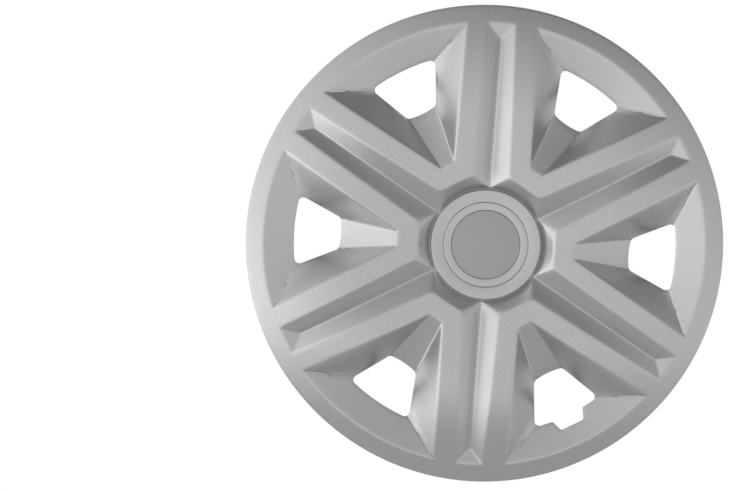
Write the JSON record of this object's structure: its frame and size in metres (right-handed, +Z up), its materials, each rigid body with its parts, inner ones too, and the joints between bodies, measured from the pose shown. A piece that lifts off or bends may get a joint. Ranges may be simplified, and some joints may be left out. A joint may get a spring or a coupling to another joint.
{
  "type": "wheel cover",
  "caption": "Round push-fit wheel cover with twin spokes, windows, a valve notch, an inset centre cap and sprung clips on a wire ring.",
  "frame": {"origin": "on the wheel's axis, in the plane of the flat land that seats against the rim", "axes": "+Y along the wheel's axis towards the vehicle, the face looks along -Y, +Z up as mounted with one spoke straight up and the valve notch at the lower right"},
  "size_m": [0.4, 0.057, 0.4],
  "materials": {
    "silver_paint": "silver metallic paint with fine flake on moulded ABS",
    "badge_silver": "flat satin silver-grey disc with no mark on it",
    "clip_plastic": "black acetal, lightly ribbed by the mould",
    "spring_steel": "drawn, zinc-plated spring steel wire"
  },
  "bodies": {
    "cover": {"cover_face": "silver_paint", "centre_cap": "silver_paint", "centre_badge": "badge_silver", "tension_ring": "spring_steel"},
    "clip_01": {"retention_clip_01": "clip_plastic"},
    "clip_02": {"retention_clip_02": "clip_plastic"},
    "clip_03": {"retention_clip_03": "clip_plastic", "ring_sleeve": "spring_steel"},
    "clip_04": {"retention_clip_04": "clip_plastic"},
    "clip_05": {"retention_clip_05": "clip_plastic"},
    "clip_06": {"retention_clip_06": "clip_plastic"},
    "clip_07": {"retention_clip_07": "clip_plastic"},
    "clip_08": {"retention_clip_08": "clip_plastic"},
    "clip_09": {"retention_clip_09": "clip_plastic"},
    "clip_10": {"retention_clip_10": "clip_plastic"},
    "clip_11": {"retention_clip_11": "clip_plastic"},
    "clip_12": {"retention_clip_12": "clip_plastic"}
  },
  "joints": [
    {"name": "clip_flex_01", "type": "hinge", "parent": "cover", "child": "clip_01", "pos_m": [0.17186, 0.005, 0.03653], "axis": [-0.2079, 0, 0.9781], "range_deg": [0, 4], "stiffness_Nm_per_rad": 1.5, "deforming": ["tension_ring"]},
    {"name": "clip_flex_02", "type": "hinge", "parent": "cover", "child": "clip_02", "pos_m": [0.11757, 0.005, 0.13057], "axis": [-0.7431, 0, 0.6691], "range_deg": [0, 4], "stiffness_Nm_per_rad": 1.5},
    {"name": "clip_flex_03", "type": "hinge", "parent": "cover", "child": "clip_03", "pos_m": [0.05429, 0.005, 0.1671], "axis": [-0.9511, 0, 0.309], "range_deg": [0, 4], "stiffness_Nm_per_rad": 1.5},
    {"name": "clip_flex_04", "type": "hinge", "parent": "cover", "child": "clip_04", "pos_m": [-0.05429, 0.005, 0.1671], "axis": [-0.9511, 0, -0.309], "range_deg": [0, 4], "stiffness_Nm_per_rad": 1.5},
    {"name": "clip_flex_05", "type": "hinge", "parent": "cover", "child": "clip_05", "pos_m": [-0.11757, 0.005, 0.13057], "axis": [-0.7431, 0, -0.6691], "range_deg": [0, 4], "stiffness_Nm_per_rad": 1.5},
    {"name": "clip_flex_06", "type": "hinge", "parent": "cover", "child": "clip_06", "pos_m": [-0.17186, 0.005, 0.03653], "axis": [-0.2079, 0, -0.9781], "range_deg": [0, 4], "stiffness_Nm_per_rad": 1.5},
    {"name": "clip_flex_07", "type": "hinge", "parent": "cover", "child": "clip_07", "pos_m": [-0.17186, 0.005, -0.03653], "axis": [0.2079, 0, -0.9781], "range_deg": [0, 4], "stiffness_Nm_per_rad": 1.5},
    {"name": "clip_flex_08", "type": "hinge", "parent": "cover", "child": "clip_08", "pos_m": [-0.11757, 0.005, -0.13057], "axis": [0.7431, 0, -0.6691], "range_deg": [0, 4], "stiffness_Nm_per_rad": 1.5},
    {"name": "clip_flex_09", "type": "hinge", "parent": "cover", "child": "clip_09", "pos_m": [-0.05429, 0.005, -0.1671], "axis": [0.9511, 0, -0.309], "range_deg": [0, 4], "stiffness_Nm_per_rad": 1.5},
    {"name": "clip_flex_10", "type": "hinge", "parent": "cover", "child": "clip_10", "pos_m": [0.05429, 0.005, -0.1671], "axis": [0.9511, 0, 0.309], "range_deg": [0, 4], "stiffness_Nm_per_rad": 1.5},
    {"name": "clip_flex_11", "type": "hinge", "parent": "cover", "child": "clip_11", "pos_m": [0.11757, 0.005, -0.13057], "axis": [0.7431, 0, 0.6691], "range_deg": [0, 4], "stiffness_Nm_per_rad": 1.5},
    {"name": "clip_flex_12", "type": "hinge", "parent": "cover", "child": "clip_12", "pos_m": [0.17186, 0.005, -0.03653], "axis": [0.2079, 0, 0.9781], "range_deg": [0, 4], "stiffness_Nm_per_rad": 1.5}
  ],
  "couplings": [
    {"joint": "clip_flex_02", "follows": "clip_flex_01", "ratio": 1},
    {"joint": "clip_flex_03", "follows": "clip_flex_01", "ratio": 1},
    {"joint": "clip_flex_04", "follows": "clip_flex_01", "ratio": 1},
    {"joint": "clip_flex_05", "follows": "clip_flex_01", "ratio": 1},
    {"joint": "clip_flex_06", "follows": "clip_flex_01", "ratio": 1},
    {"joint": "clip_flex_07", "follows": "clip_flex_01", "ratio": 1},
    {"joint": "clip_flex_08", "follows": "clip_flex_01", "ratio": 1},
    {"joint": "clip_flex_09", "follows": "clip_flex_01", "ratio": 1},
    {"joint": "clip_flex_10", "follows": "clip_flex_01", "ratio": 1},
    {"joint": "clip_flex_11", "follows": "clip_flex_01", "ratio": 1},
    {"joint": "clip_flex_12", "follows": "clip_flex_01", "ratio": 1}
  ]
}
